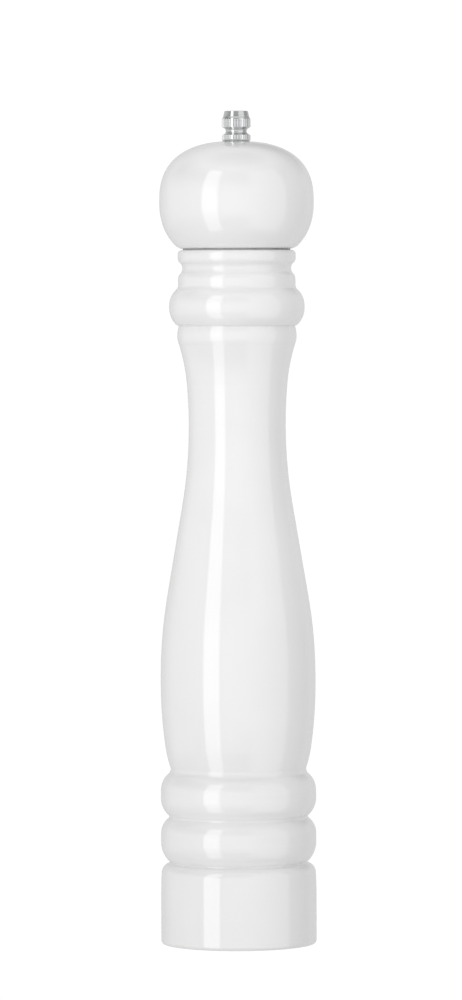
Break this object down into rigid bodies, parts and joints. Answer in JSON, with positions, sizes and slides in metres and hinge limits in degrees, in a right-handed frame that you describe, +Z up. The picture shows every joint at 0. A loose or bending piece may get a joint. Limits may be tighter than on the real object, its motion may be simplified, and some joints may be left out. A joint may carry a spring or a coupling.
{
  "type": "pepper mill",
  "caption": "Tall turned wooden pepper mill with a ball head, a fluted top nut and a conical burr on a square shaft.",
  "frame": {"origin": "centre of the foot's lower face, on the table", "axes": "+Z up along the shaft, towards the top nut; X and Y lie in the table's plane"},
  "size_m": [0.0588, 0.0588, 0.315],
  "materials": {
    "lacquered_wood": "white gloss lacquer",
    "chrome": "polished",
    "steel": "bright drawn",
    "zinc": "zinc plated",
    "spring_steel": "bright",
    "ceramic": "unglazed",
    "nylon": "moulded black",
    "glide_nylon": "smooth light grey"
  },
  "bodies": {
    "mill_body": {"body": "lacquered_wood", "burr_housing": "nylon", "stator": "ceramic", "bridge": "steel", "bridge_bush": "glide_nylon", "bridge_screws": "zinc", "housing_screws": "zinc"},
    "turntable": {"glide_ring": "glide_nylon"},
    "turning_head": {"head": "lacquered_wood", "nut_ferrule": "chrome", "drive_plate": "steel", "drive_plate_screws": "zinc"},
    "top_nut": {"adjusting_nut": "chrome"},
    "thrust_washer": {"spring_seat_upper": "zinc"},
    "shaft_and_burr": {"shaft": "steel", "retaining_clip": "spring_steel", "rotor": "ceramic", "rotor_hub": "nylon", "rotor_washer": "zinc", "lock_nut": "zinc", "spring_seat_lower": "zinc", "spring": "spring_steel"}
  },
  "joints": [
    {"name": "head_turn", "type": "hinge", "parent": "mill_body", "child": "turntable", "pos_m": [0, 0, 0.2628], "axis": [0, 0, 1], "continuous": true},
    {"name": "head_lift", "type": "slide", "parent": "turntable", "child": "turning_head", "axis": [0, 0, 1], "range_m": [0, 0.075]},
    {"name": "nut_turn", "type": "hinge", "parent": "turning_head", "child": "top_nut", "pos_m": [0, 0, 0.3037], "axis": [0, 0, 1], "range_deg": [-360, 540]},
    {"name": "shaft_turn", "type": "hinge", "parent": "mill_body", "child": "thrust_washer", "pos_m": [0, 0, 0.033], "axis": [0, 0, 1], "continuous": true},
    {"name": "burr_adjust", "type": "slide", "parent": "thrust_washer", "child": "shaft_and_burr", "axis": [0, 0, 1], "range_m": [-0.0012, 0.0008], "deforming": ["spring"]}
  ],
  "couplings": [
    {"joint": "shaft_turn", "follows": "head_turn", "ratio": 1},
    {"joint": "nut_turn", "follows": "burr_adjust", "rad_per_m": -7853.9}
  ]
}
